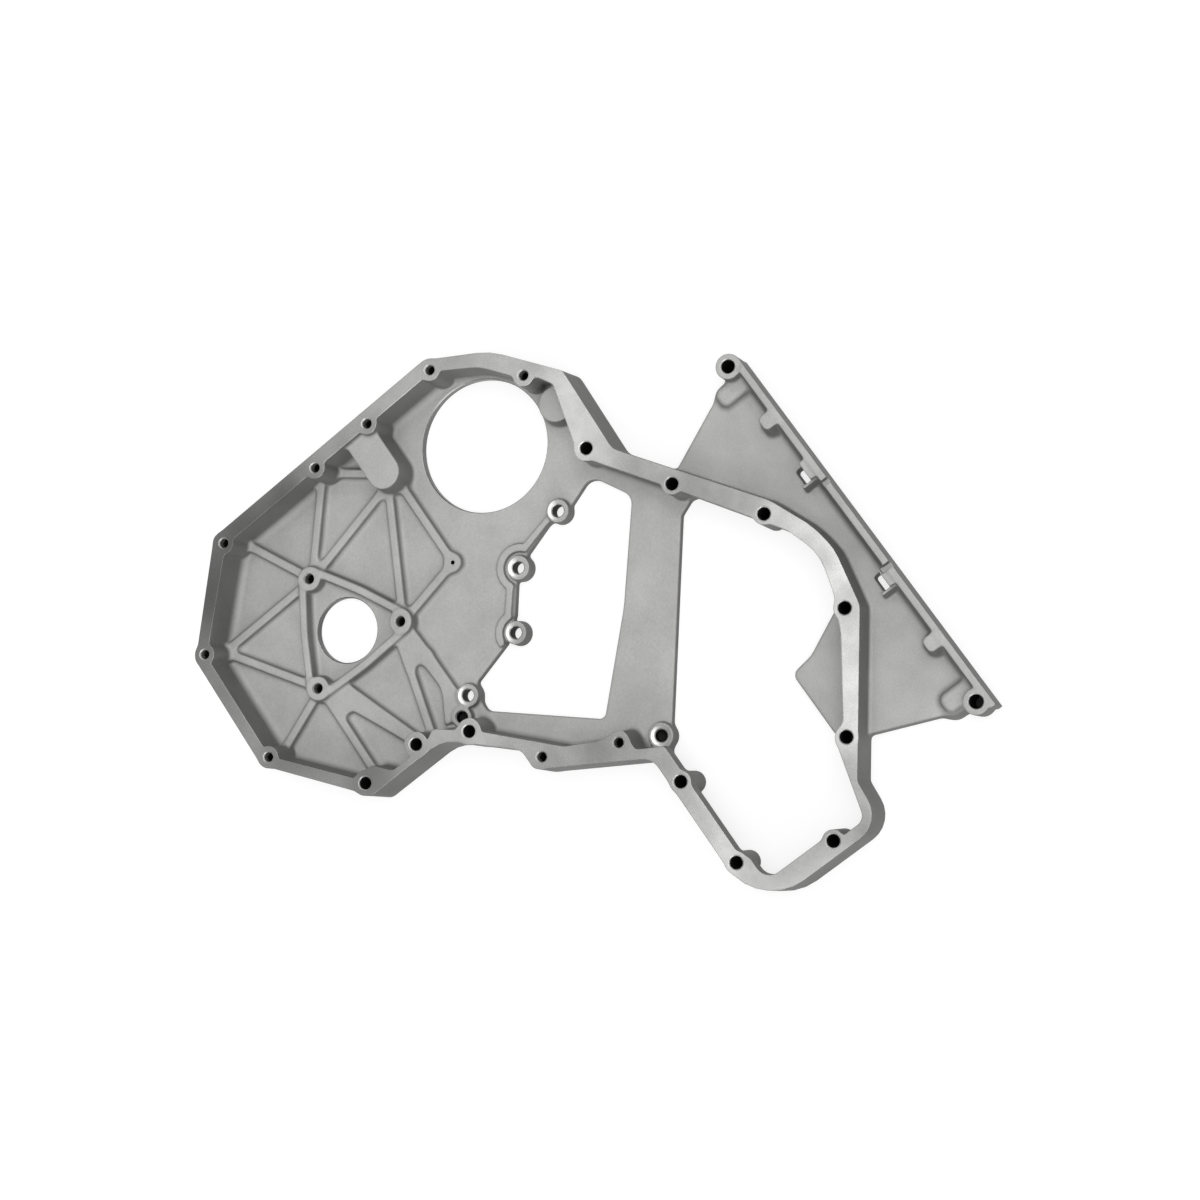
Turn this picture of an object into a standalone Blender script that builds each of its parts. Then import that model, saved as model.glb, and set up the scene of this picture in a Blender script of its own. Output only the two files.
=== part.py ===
# Engine gear housing: one aluminium casting, lying on the face that bolts to the block.
#
# Drawing datum: X = 0 on the crankshaft centre line, +X along the sump rail, Y = 0 on the
# sump rail face, Z = 0 on the block face and +Z towards the front cover. Outlines are in
# millimetres, as lists of corners (x, y, corner radius). The finished casting is moved so
# that the centre of its footprint lies at the world origin.

import math

import bmesh
import bpy
from mathutils import Vector

MM = 0.001

# Levels above the block face
RIM_HEIGHT = 35.0
FLOOR_THICKNESS = 6.0
WING_THICKNESS = 10.0
SUMP_RAIL_HEIGHT = 28.0
FLANGE_THICKNESS = 13.0
PUMP_RIDGE_HEIGHT = 15.0
RIB_HEIGHT = 5.5
EDGE_RIB_HEIGHT = 2.6
WINDOW_BOSS_HEIGHT = 12.0
ARM_PAD_HEIGHT = 29.0
BORE_PAD_HEIGHT = 20.0
END_PAD_HEIGHT = 16.0

# Draft: how far a wall's foot stands out from its top
OUTER_DRAFT = 1.5
INNER_DRAFT = 1.2
BOSS_DRAFT = 0.8
PAD_DRAFT = 2.0

# Bores and bolt holes
ACCESSORY_BORE_DIAMETER = 101.6
PUMP_PILOT_DIAMETER = 50.0
PUMP_STUD_CIRCLE = 98.0
PUMP_STUD_HOLE = 7.2
BOLT_HOLE = 9.4
SCREW_HOLE = 6.8
SCREW_DEPTH = 22.0
WINDOW_HOLE = 9.2
SUMP_BOLT_HOLE = 10.0
SPOT_FACE_DIAMETER = 16.0
SPOT_FACE_DEPTH = 1.0

# Wall, rib and boss sections
FRAME_WALL = 6.5
SCREW_BOSS_RADIUS = 8.5
BOLT_BOSS_RADIUS = 9.5
PUMP_STUD_BOSS_RADIUS = 9.2
PUMP_RIDGE_WIDTH = 6.5
PUMP_RIDGE_BULGE = 2.5
RIB_TOP_WIDTH = 6.0
RIB_FOOT_WIDTH = 8.8
EDGE_RIB_TOP_WIDTH = 3.0
EDGE_RIB_FOOT_WIDTH = 5.4
ARM_PAD_RADIUS = 13.3
ARM_PAD_REACH = 34.1
BORE_PAD_RADIUS = 13.5

# Sump rail, mostly the same on both sides of the crankshaft centre line
SUMP_RAIL_HALF_LENGTH = 159.2
SUMP_RAIL_WALL = 5.0
SUMP_RAIL_DRAFT = 2.0
SUMP_END_BOSS_RADIUS = 9.4
SUMP_BOLT_OFFSET = 149.6
SUMP_LUG_OFFSET = 99.0
SUMP_LUG_WIDTH = 9.0
SUMP_LUG_REACH = 16.5
SLOT_RIB_HEIGHT = 26.0
SLOT_RIB_WALL = 3.0
SLOT_RIB_REACH = 18.5
SLOT_CENTRES = [-42.5, 53.0]
SLOT_LENGTH = 16.5
SLOT_NEAR_SIDE = 8.0
SLOT_FAR_SIDE = 17.0
RAIL_NOTCH_OFFSET = 37.5
RAIL_NOTCH_WIDTH = 4.5
RAIL_NOTCH_DEPTH = 5.0
END_PAD_OFFSET = 137.0
END_PAD_WIDTH = 11.0
END_PAD_REACH = 31.0

# Curve quality
ARC_TOLERANCE = 0.12
LARGEST_ARC_STEP = math.radians(36)
SMALL_HOLE_SIDES = 16
BOSS_SIDES = 20
BORE_SIDES = 64
CUT_MARGIN = 2.0
SMALLEST_RADIUS = 0.4
MERGE_DISTANCE = 0.005
FLAT_ANGLE = math.radians(0.2)

# Outside of the cover rim, at the cover face
RIM_OUTSIDE = [
    (61.5, 412, 6), (134.5, 474, 10), (234, 474, 8), (303, 407, 8),
    (303, 189.5, 18), (274, 144, 60), (225.5, 108, 8), (154, 111.5, 12),
    (50, 41, 25), (16, 27.5, 40), (-6, 24.5, 40), (-49, 33.5, 12),
    (-146, 107, 8), (-178.6, 110, 20), (-178.6, 218, 40), (-45.5, 218, 14),
    (1, 295.5, 7), (18.5, 295.5, 12), (61.5, 342, 30),
]

# Inside of the cover rim, from the gear pan round both windows and back
RIM_INSIDE = [
    (291.6, 402.4, 8), (230.5, 464.5, 8), (136, 464.5, 8), (80, 415.8, 4),
    (80, 399, 4), (66.5, 387.5, 6), (66.5, 355, 8), (72.5, 343.5, 4),
    (61.5, 329.5, 5), (61.5, 313.5, 3), (48, 313.5, 4), (1, 267.5, 15),
    (-11, 244.5, 10), (-16.5, 224.5, 2), (-33, 224.5, 4), (-44, 205.5, 4),
    (-136, 205.5, 5), (-144, 200.5, 5), (-163.7, 200.5, 11), (-163.7, 151.5, 4),
    (-170, 140, 4), (-170, 118.5, 8), (-115, 103, 6), (-106, 90, 6),
    (-57, 56, 10), (-30, 43, 20), (-2, 35, 40), (25, 43.5, 30),
    (98, 90, 6), (158, 129.5, 8), (168, 134.5, 6), (222, 119.5, 6),
    (233, 125.5, 4), (244, 138.5, 6), (270, 157.5, 40), (291.6, 189.5, 20),
]

# The crank window below the rim's flange, which leaves a thin outer wall
CRANK_WINDOW = [
    (-46, 211.5, 6), (-172, 211.5, 33), (-172, 117, 14), (-143, 113.5, 8),
    (-47, 41.5, 12), (-5, 31.5, 40), (14, 34, 40), (50, 48.5, 20),
    (92, 78, 6), (95, 92, 5), (90.5, 103.8, 5), (-37.5, 205.8, 4),
]

# The idler window through the floor
IDLER_WINDOW = [
    (5.5, 238.5, 5), (63.3, 178.8, 60), (126.2, 125.5, 10), (158, 142.5, 10),
    (150, 165.5, 8), (149, 190.5, 3), (141.5, 215.5, 3), (130, 234.5, 3),
    (110, 250.5, 3), (97, 268.5, 3), (88, 303.5, 4), (80, 308.5, 3),
    (66, 310, 7),
]

# The triangular wing that closes the crankcase beside the cover
WING = [
    (-148, 3, 1), (-145.6, 25.5, 3), (-119, 90, 3), (-106, 105, 3),
    (-53.5, 105, 6), (-51, 86, 20), (-35, 52, 3), (-2, 31, 30),
    (30, 42, 30), (104, 92, 3), (118, 89, 2), (145.6, 25.5, 3), (148, 3, 1),
]

# Cover bolts: screws into the rim, and bolts through it to the block
COVER_SCREWS = [
    (136, 465.5), (233.3, 465), (294, 402.8), (293, 307.7), (293.4, 254.1),
    (293.7, 190.1), (242.2, 133.9), (-21.4, 231.9), (5, 285.5),
]
COVER_BOLTS = [
    (72.3, 411), (71.4, 361), (54, 321), (167.1, 127.1), (105, 91),
    (45.2, 50.1), (-43.9, 43.3), (-116.7, 95.2), (-168.9, 144.9),
    (-140.9, 210.5), (-71.3, 210.5),
]

# Centres on the floor
ACCESSORY_BORE = (230, 195.5)
PUMP_PILOT = (185, 367.2)
WINDOW_BOSSES = [(83, 314, 9.3), (98, 256, 9.3), (136.3, 226.3, 9.8), (151.4, 176.6, 9.3)]
BLIND_BOSSES = [(-31.3, 209, 10), (72.3, 327.1, 8)]
ARM_PAD_LEVEL = 266.5
ARM_RIB_END = (251.5, 275.5)
BORE_PAD_CENTRE = (214.5, 129.5)
RIB_JOINT = (172, 266)

# Direction of each pump stud seen from the pilot, and the ribs as chains of points
PUMP_STUD_ANGLES = [0, 120, 240]


def polar(centre, radius, degrees):
    """A point at a radius and an angle from a centre."""
    angle = math.radians(degrees)
    return (centre[0] + radius * math.cos(angle), centre[1] + radius * math.sin(angle))


def clear_scene():
    """Remove the objects of the open scene."""
    for item in list(bpy.data.objects):
        bpy.data.objects.remove(item, do_unlink=True)


def arc_steps(radius, turn):
    """Segments that keep an arc within the tolerance of its circle."""
    if radius <= ARC_TOLERANCE:
        return 1
    step = min(2 * math.acos(1 - ARC_TOLERANCE / radius), LARGEST_ARC_STEP)
    return max(1, math.ceil(turn / step))


def rounded(corners, grow=0.0):
    """Closed outline through rounded corners, moved outwards by grow millimetres.

    Every corner keeps its number of points whatever grow is, so that two outlines of the
    same corners can be joined into a drafted wall.
    """
    places = [Vector((x, y)) for x, y, _ in corners]
    count = len(places)
    area = sum(places[i - 1].cross(places[i]) for i in range(count))
    side = 1.0 if area > 0 else -1.0
    outline = []
    for i, (_, _, radius) in enumerate(corners):
        before = (places[i] - places[i - 1]).normalized()
        after = (places[(i + 1) % count] - places[i]).normalized()
        out_before = Vector((before.y, -before.x)) * side
        out_after = Vector((after.y, -after.x)) * side
        corner = places[i] + (out_before + out_after) * (grow / (1 + out_before.dot(out_after)))
        bend = before.cross(after)
        turn = math.acos(max(-1.0, min(1.0, before.dot(after))))
        steps = arc_steps(radius, turn)
        bulge = 1.0 if bend * side > 0 else -1.0
        arc_radius = max(radius + bulge * grow, SMALLEST_RADIUS)
        reach = arc_radius * math.tan(turn / 2)
        start = corner - before * reach
        centre = start - (out_before * bulge) * arc_radius
        spoke = start - centre
        sweep = math.copysign(turn, bend)
        for k in range(steps + 1):
            angle = sweep * k / steps
            turned = Vector((spoke.x * math.cos(angle) - spoke.y * math.sin(angle),
                             spoke.x * math.sin(angle) + spoke.y * math.cos(angle)))
            outline.append(centre + turned)
    return outline


def circle(centre, radius, sides):
    """Points of a circle as an outline."""
    return [Vector(polar(centre, radius, 360 * k / sides)) for k in range(sides)]


def loft(mesh, bottom, low, top, high):
    """Closed solid between two outlines with equal numbers of points."""
    lower = [mesh.verts.new((p.x * MM, p.y * MM, low * MM)) for p in bottom]
    upper = [mesh.verts.new((p.x * MM, p.y * MM, high * MM)) for p in top]
    count = len(lower)
    faces = [mesh.faces.new(lower), mesh.faces.new(upper)]
    for i in range(count):
        j = (i + 1) % count
        faces.append(mesh.faces.new((lower[i], lower[j], upper[j], upper[i])))
    bmesh.ops.recalc_face_normals(mesh, faces=faces)


def prism(mesh, corners, low, high, foot=0.0, head=0.0):
    """Drafted block from rounded corners, grown by foot below and by head above."""
    loft(mesh, rounded(corners, foot), low, rounded(corners, head), high)


def post(mesh, centre, radius, low, high, sides, foot=0.0):
    """Round post, bore or hole, grown by foot at its lower end."""
    loft(mesh, circle(centre, radius + foot, sides), low, circle(centre, radius, sides), high)


def bar(mesh, start, end, low, high, foot_width, top_width):
    """Rib of trapezoid section with round ends between two points."""
    start = Vector(start)
    end = Vector(end)
    along = math.degrees(math.atan2(end.y - start.y, end.x - start.x))

    def stadium(radius):
        far = [Vector(polar(end, radius, along + a)) for a in (-90, -45, 0, 45, 90)]
        near = [Vector(polar(start, radius, along + a)) for a in (90, 135, 180, 225, 270)]
        return far + near

    loft(mesh, stadium(foot_width / 2), low, stadium(top_width / 2), high)


def solid(name, build):
    """Object whose mesh is filled by build."""
    mesh = bmesh.new()
    build(mesh)
    data = bpy.data.meshes.new(name)
    mesh.to_mesh(data)
    mesh.free()
    item = bpy.data.objects.new(name, data)
    bpy.context.collection.objects.link(item)
    return item


def combine(body, operation, name, build, crossing=False):
    """Add the solids that build makes to the body, or cut them from it."""
    tool = solid(name, build)
    step = body.modifiers.new(name, 'BOOLEAN')
    step.operation = operation
    step.solver = 'EXACT'
    step.use_self = crossing
    step.object = tool
    graph = bpy.context.evaluated_depsgraph_get()
    result = bpy.data.meshes.new_from_object(body.evaluated_get(graph))
    body.modifiers.remove(step)
    old = body.data
    body.data = result
    bpy.data.meshes.remove(old)
    bpy.data.objects.remove(tool, do_unlink=True)


def add(body, name, build, crossing=False):
    """Fuse new metal to the body."""
    combine(body, 'UNION', name, build, crossing)


def cut(body, name, build, crossing=False):
    """Remove metal from the body."""
    combine(body, 'DIFFERENCE', name, build, crossing)


def stud_centres():
    """Centres of the three pump studs."""
    return [polar(PUMP_PILOT, PUMP_STUD_CIRCLE / 2, a) for a in PUMP_STUD_ANGLES]


def block(mesh):
    """Full-height block inside the rim's outer outline."""
    prism(mesh, RIM_OUTSIDE, 0, RIM_HEIGHT, foot=OUTER_DRAFT)


def gear_space(mesh):
    """Space for the gears, open at the cover face, down to the floor."""
    prism(mesh, RIM_INSIDE, FLOOR_THICKNESS, RIM_HEIGHT + CUT_MARGIN, foot=-INNER_DRAFT)


def crank_space(mesh):
    """Crank window up to the underside of the cover flange."""
    prism(mesh, CRANK_WINDOW, -CUT_MARGIN, RIM_HEIGHT - FLANGE_THICKNESS)


def wing_plate(mesh):
    """Flat wing between the cover rim and the sump rail."""
    prism(mesh, WING, 0, WING_THICKNESS, foot=OUTER_DRAFT / 2)


def rim_bosses(mesh):
    """Full-depth bosses round the bolts and screws of the cover."""
    for centre in COVER_BOLTS:
        post(mesh, centre, BOLT_BOSS_RADIUS, 0, RIM_HEIGHT, BOSS_SIDES)
    for centre in COVER_SCREWS:
        post(mesh, centre, SCREW_BOSS_RADIUS, 0, RIM_HEIGHT, BOSS_SIDES, foot=BOSS_DRAFT)


def box(middle, width, low, high, radius):
    """Corners of an upright rectangle with rounded upper corners."""
    left = middle - width / 2
    right = middle + width / 2
    return [(left, low, 0), (right, low, 0), (right, high, radius), (left, high, radius)]


def sump_rail(mesh):
    """Upright flange along the sump face, with its end bosses, lugs and pads."""
    half = SUMP_RAIL_HALF_LENGTH
    prism(mesh, [(-half, 0, 1), (SUMP_BOLT_OFFSET, 0, 0), (SUMP_BOLT_OFFSET, SUMP_RAIL_WALL, 1),
                 (1 - half, SUMP_RAIL_WALL, 1)], 0, SUMP_RAIL_HEIGHT)
    prism(mesh, box(0, 2 * SUMP_BOLT_OFFSET, SUMP_RAIL_DRAFT + 1, SUMP_RAIL_WALL, 0),
          WING_THICKNESS / 2, SUMP_RAIL_HEIGHT, foot=SUMP_RAIL_DRAFT)
    for side in (-1, 1):
        bolt = (side * SUMP_BOLT_OFFSET, SUMP_END_BOSS_RADIUS)
        post(mesh, bolt, SUMP_END_BOSS_RADIUS, 0, SUMP_RAIL_HEIGHT, BOSS_SIDES)
        prism(mesh, box(side * SUMP_LUG_OFFSET, SUMP_LUG_WIDTH, 1 + PAD_DRAFT, SUMP_LUG_REACH, 3),
              WING_THICKNESS / 2, SUMP_RAIL_HEIGHT, foot=PAD_DRAFT)
        prism(mesh, box(side * END_PAD_OFFSET, END_PAD_WIDTH, 1 + PAD_DRAFT, END_PAD_REACH, 3),
              WING_THICKNESS / 2, END_PAD_HEIGHT, foot=PAD_DRAFT)
    for centre in SLOT_CENTRES:
        prism(mesh, box(centre - SLOT_LENGTH / 2, 2 * SLOT_RIB_WALL, 1 + BOSS_DRAFT,
                        SLOT_RIB_REACH, 1),
              WING_THICKNESS / 2, SLOT_RIB_HEIGHT, foot=BOSS_DRAFT)


def sump_slots(mesh):
    """Slots through the wing, each of which trims the small rib at its end."""
    for centre in SLOT_CENTRES:
        prism(mesh, box(centre, SLOT_LENGTH, SLOT_NEAR_SIDE, SLOT_FAR_SIDE, 2),
              -CUT_MARGIN, SUMP_RAIL_HEIGHT + CUT_MARGIN)


def rail_notches(mesh):
    """Notches across the top of the sump rail."""
    for side in (-1, 1):
        prism(mesh, box(side * RAIL_NOTCH_OFFSET, RAIL_NOTCH_WIDTH, -CUT_MARGIN,
                        SLOT_NEAR_SIDE, 0),
              SUMP_RAIL_HEIGHT - RAIL_NOTCH_DEPTH, SUMP_RAIL_HEIGHT + CUT_MARGIN)


def pump_outline(margin):
    """Rounded triangle round the studs, its sides bowed out a little."""
    inside = PUMP_STUD_CIRCLE / 4 + PUMP_STUD_BOSS_RADIUS + margin
    corners = []
    for angle in PUMP_STUD_ANGLES:
        corner = polar(PUMP_PILOT, 2 * inside, angle)
        middle = polar(PUMP_PILOT, inside + PUMP_RIDGE_BULGE, angle + 60)
        corners.append((*corner, PUMP_STUD_BOSS_RADIUS + margin + PUMP_RIDGE_BULGE))
        corners.append((*middle, 4 * PUMP_STUD_CIRCLE / 5))
    return corners


def pump_pad(mesh):
    """Triangular pad of the injection pump, before its recess is cut."""
    prism(mesh, pump_outline(0), FLOOR_THICKNESS / 2, PUMP_RIDGE_HEIGHT, foot=PAD_DRAFT)


def pump_recess(mesh):
    """Recess round the pump pilot inside the triangular ridge."""
    prism(mesh, pump_outline(-PUMP_RIDGE_WIDTH), FLOOR_THICKNESS, PUMP_RIDGE_HEIGHT + CUT_MARGIN,
          foot=-INNER_DRAFT)


def pump_bosses(mesh):
    """Stud bosses at the corners of the pump pad."""
    for centre in stud_centres():
        post(mesh, centre, PUMP_STUD_BOSS_RADIUS, FLOOR_THICKNESS / 2, PUMP_RIDGE_HEIGHT + 0.5,
             BOSS_SIDES, foot=BOSS_DRAFT)


def rib_chains():
    """Floor ribs, which run from the pump studs to the walls and to the arm pad."""
    right, upper, lower = stud_centres()
    return [
        (right, (233.5, 458)), (upper, (229, 457)), (upper, (142, 458)),
        ((158, 407), (78, 406)), ((151, 396), (76, 365)),
        ((150, 335), (76, 355)), (lower, (90, 322)),
        (right, (290, 396)), (right, (288, 320)),
        (right, (253, 280)), (lower, RIB_JOINT), (lower, ARM_RIB_END),
        (RIB_JOINT, (248, 266)), ((272, 283), (290, 305)),
    ]


def floor_ribs(mesh):
    """Low ribs that stiffen the floor of the gear pan."""
    for start, end in rib_chains():
        bar(mesh, start, end, FLOOR_THICKNESS / 2, FLOOR_THICKNESS + RIB_HEIGHT,
            RIB_FOOT_WIDTH, RIB_TOP_WIDTH)


def edge_rib_points():
    """Path of the low rib that follows the bosses of the idler window."""
    arc = [polar(WINDOW_BOSSES[2][:2], 17, a) for a in (-50, -20, 10, 40, 70, 100, 125)]
    hook = [polar(WINDOW_BOSSES[1][:2], 16, a) for a in (-5, 25, 55, 85)]
    return [(154, 186)] + arc + hook


def edge_rib(mesh):
    """Low rib along the idler window."""
    path = edge_rib_points()
    for start, end in zip(path, path[1:]):
        bar(mesh, start, end, FLOOR_THICKNESS / 2, FLOOR_THICKNESS + EDGE_RIB_HEIGHT,
            EDGE_RIB_FOOT_WIDTH, EDGE_RIB_TOP_WIDTH)


def pads(mesh):
    """Arm pad that reaches in from the rim, and the half-round pad beside the bore."""
    wall = RIM_INSIDE[0][0] + FRAME_WALL / 2
    x, y = RIM_INSIDE[0][0] - ARM_PAD_REACH, ARM_PAD_LEVEL
    arm = [(x - ARM_PAD_RADIUS, y - ARM_PAD_RADIUS, ARM_PAD_RADIUS), (wall, y - ARM_PAD_RADIUS, 0),
           (wall, y + ARM_PAD_RADIUS, 0), (x - ARM_PAD_RADIUS, y + ARM_PAD_RADIUS, ARM_PAD_RADIUS)]
    prism(mesh, arm, FLOOR_THICKNESS / 2, ARM_PAD_HEIGHT, foot=PAD_DRAFT)
    post(mesh, BORE_PAD_CENTRE, BORE_PAD_RADIUS, FLOOR_THICKNESS / 2, BORE_PAD_HEIGHT,
         BOSS_SIDES, foot=PAD_DRAFT)


def window_bosses(mesh):
    """Bosses on the edge of the idler window and the two with blind holes."""
    for x, y, radius in WINDOW_BOSSES + BLIND_BOSSES:
        post(mesh, (x, y), radius, 0, WINDOW_BOSS_HEIGHT, BOSS_SIDES, foot=BOSS_DRAFT)


def idler_space(mesh):
    """Idler window through the floor."""
    prism(mesh, IDLER_WINDOW, -CUT_MARGIN, FLOOR_THICKNESS + CUT_MARGIN)


def bores(mesh):
    """Accessory bore and pump pilot."""
    post(mesh, ACCESSORY_BORE, ACCESSORY_BORE_DIAMETER / 2, -CUT_MARGIN,
         BORE_PAD_HEIGHT + CUT_MARGIN, BORE_SIDES)
    post(mesh, PUMP_PILOT, PUMP_PILOT_DIAMETER / 2, -CUT_MARGIN,
         PUMP_RIDGE_HEIGHT + CUT_MARGIN, BORE_SIDES)


def holes(mesh):
    """Every drilled hole, and the spot faces of the window bosses."""
    above = RIM_HEIGHT + CUT_MARGIN
    for centre in COVER_BOLTS:
        post(mesh, centre, BOLT_HOLE / 2, -CUT_MARGIN, above, SMALL_HOLE_SIDES)
    for centre in COVER_SCREWS:
        post(mesh, centre, SCREW_HOLE / 2, RIM_HEIGHT - SCREW_DEPTH, above, SMALL_HOLE_SIDES)
    for centre in stud_centres():
        post(mesh, centre, PUMP_STUD_HOLE / 2, -CUT_MARGIN, above, SMALL_HOLE_SIDES)
    for side in (-1, 1):
        bolt = (side * SUMP_BOLT_OFFSET, SUMP_END_BOSS_RADIUS)
        post(mesh, bolt, SUMP_BOLT_HOLE / 2, -CUT_MARGIN, above, SMALL_HOLE_SIDES)
    for x, y, _ in WINDOW_BOSSES:
        post(mesh, (x, y), WINDOW_HOLE / 2, -CUT_MARGIN, above, SMALL_HOLE_SIDES)
    for x, y, _ in BLIND_BOSSES:
        post(mesh, (x, y), WINDOW_HOLE / 2, FLOOR_THICKNESS / 2, above, SMALL_HOLE_SIDES)


def spot_faces(mesh):
    """Shallow turned seats round the holes of the window bosses."""
    for x, y, _ in WINDOW_BOSSES + BLIND_BOSSES[:1]:
        post(mesh, (x, y), SPOT_FACE_DIAMETER / 2, WINDOW_BOSS_HEIGHT - SPOT_FACE_DEPTH,
             WINDOW_BOSS_HEIGHT + CUT_MARGIN, BOSS_SIDES)


def cast_aluminium():
    """Bare cast aluminium."""
    material = bpy.data.materials.new('cast_aluminium')
    material.use_nodes = True
    shader = material.node_tree.nodes['Principled BSDF']
    shader.inputs['Base Color'].default_value = (0.46, 0.46, 0.45, 1.0)
    shader.inputs['Roughness'].default_value = 0.5
    shader.inputs['Metallic'].default_value = 0.8
    return material


def centre_on_origin(body):
    """Move the mesh so that its footprint is centred on the world origin."""
    xs = [v.co.x for v in body.data.vertices]
    ys = [v.co.y for v in body.data.vertices]
    shift = Vector(((min(xs) + max(xs)) / 2, (min(ys) + max(ys)) / 2, 0))
    for vertex in body.data.vertices:
        vertex.co -= shift


def tidy(body):
    """Remove slivers thinner than the merge distance, and points inside flat faces."""
    mesh = bmesh.new()
    mesh.from_mesh(body.data)
    bmesh.ops.triangulate(mesh, faces=mesh.faces)
    bmesh.ops.dissolve_degenerate(mesh, edges=mesh.edges, dist=MERGE_DISTANCE * MM)
    bmesh.ops.dissolve_limit(mesh, angle_limit=FLAT_ANGLE, verts=mesh.verts, edges=mesh.edges)
    bmesh.ops.triangulate(mesh, faces=mesh.faces)
    mesh.to_mesh(body.data)
    mesh.free()


def gear_housing():
    """The casting, made in the order in which it would be sketched and drilled."""
    body = solid('gear_housing', block)
    cut(body, 'gear_space', gear_space)
    cut(body, 'crank_space', crank_space)
    add(body, 'wing_plate', wing_plate)
    add(body, 'rim_bosses', rim_bosses)
    add(body, 'sump_rail', sump_rail, crossing=True)
    cut(body, 'sump_slots', sump_slots)
    cut(body, 'rail_notches', rail_notches)
    cut(body, 'idler_space', idler_space)
    add(body, 'floor_ribs', floor_ribs, crossing=True)
    add(body, 'edge_rib', edge_rib, crossing=True)
    add(body, 'pump_pad', pump_pad)
    cut(body, 'pump_recess', pump_recess)
    add(body, 'pump_bosses', pump_bosses)
    add(body, 'pads', pads)
    add(body, 'window_bosses', window_bosses, crossing=True)
    cut(body, 'bores', bores)
    cut(body, 'spot_faces', spot_faces)
    cut(body, 'holes', holes)
    tidy(body)
    centre_on_origin(body)
    body.data.materials.clear()
    body.data.materials.append(cast_aluminium())
    body.data.shade_smooth()
    body.data.set_sharp_from_angle(angle=math.radians(30))
    return body


clear_scene()
gear_housing()
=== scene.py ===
import math

import bpy
import numpy as np
from mathutils import Matrix


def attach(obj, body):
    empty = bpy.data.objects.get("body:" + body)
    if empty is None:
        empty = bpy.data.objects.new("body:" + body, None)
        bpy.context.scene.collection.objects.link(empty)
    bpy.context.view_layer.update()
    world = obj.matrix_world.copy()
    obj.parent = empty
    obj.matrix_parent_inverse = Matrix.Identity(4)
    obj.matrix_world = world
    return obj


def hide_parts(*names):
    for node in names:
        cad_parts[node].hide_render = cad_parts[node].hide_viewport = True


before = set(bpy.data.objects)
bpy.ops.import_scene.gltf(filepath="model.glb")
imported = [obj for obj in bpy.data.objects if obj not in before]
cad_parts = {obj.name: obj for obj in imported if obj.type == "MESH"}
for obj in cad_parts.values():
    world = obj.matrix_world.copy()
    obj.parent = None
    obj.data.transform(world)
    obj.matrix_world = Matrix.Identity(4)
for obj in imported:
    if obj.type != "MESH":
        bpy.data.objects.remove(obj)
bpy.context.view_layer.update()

# Cover rim
# The housing is one gravity casting in aluminium. A drafted wall runs round the timing
# gears and carries the front cover; inside, it meets the floor of the pan in a fillet.
# The casting's shape is held as a distance field: a number for each point of a fine
# lattice, below zero in the metal, in millimetres from the crankshaft's line, the sump
# face and the block face. Where two shapes meet, their fields are blended as a fillet.
PITCH = 0.8
FOOTPRINT_CENTRE = (62.2, 237.75)
lattice_x = np.arange(-184.0, 309.0, PITCH, dtype=np.float32)
lattice_y = np.arange(-4.4, 480.0, PITCH, dtype=np.float32)
lattice_z = np.arange(-1.7, 37.5, PITCH, dtype=np.float32)
level = lattice_z[:, None, None]
metal = np.full((lattice_z.size, lattice_x.size, lattice_y.size), 50.0, np.float32)

RIM_TOP = 35.0
FLOOR_TOP = 6.0
RIM_OUTSIDE = [
    (61.5, 412, 6), (134.5, 474, 10), (234, 474, 8), (303, 407, 8),
    (303, 189.5, 18), (274, 144, 60), (225.5, 108, 8), (154, 111.5, 12),
    (50, 41, 25), (16, 27.5, 40), (-6, 24.5, 40), (-49, 33.5, 12),
    (-146, 107, 8), (-178.6, 110, 20), (-178.6, 218, 40), (-45.5, 218, 14),
    (1, 295.5, 7), (18.5, 295.5, 12), (61.5, 342, 30),
]
RIM_INSIDE = [
    (291.6, 402.4, 8), (230.5, 464.5, 8), (136, 464.5, 8), (80, 415.8, 4),
    (80, 399, 4), (66.5, 387.5, 6), (66.5, 355, 8), (72.5, 343.5, 4),
    (61.5, 329.5, 5), (61.5, 313.5, 3), (48, 313.5, 4), (1, 267.5, 15),
    (-11, 244.5, 10), (-16.5, 224.5, 2), (-33, 224.5, 4), (-44, 205.5, 4),
    (-136, 205.5, 5), (-144, 200.5, 5), (-163.7, 200.5, 11), (-163.7, 151.5, 4),
    (-170, 140, 4), (-170, 118.5, 8), (-115, 103, 6), (-106, 90, 6),
    (-57, 56, 10), (-30, 43, 20), (-2, 35, 40), (25, 43.5, 30),
    (98, 90, 6), (158, 129.5, 8), (168, 134.5, 6), (222, 119.5, 6),
    (233, 125.5, 4), (244, 138.5, 6), (270, 157.5, 40), (291.6, 189.5, 20),
]


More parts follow.
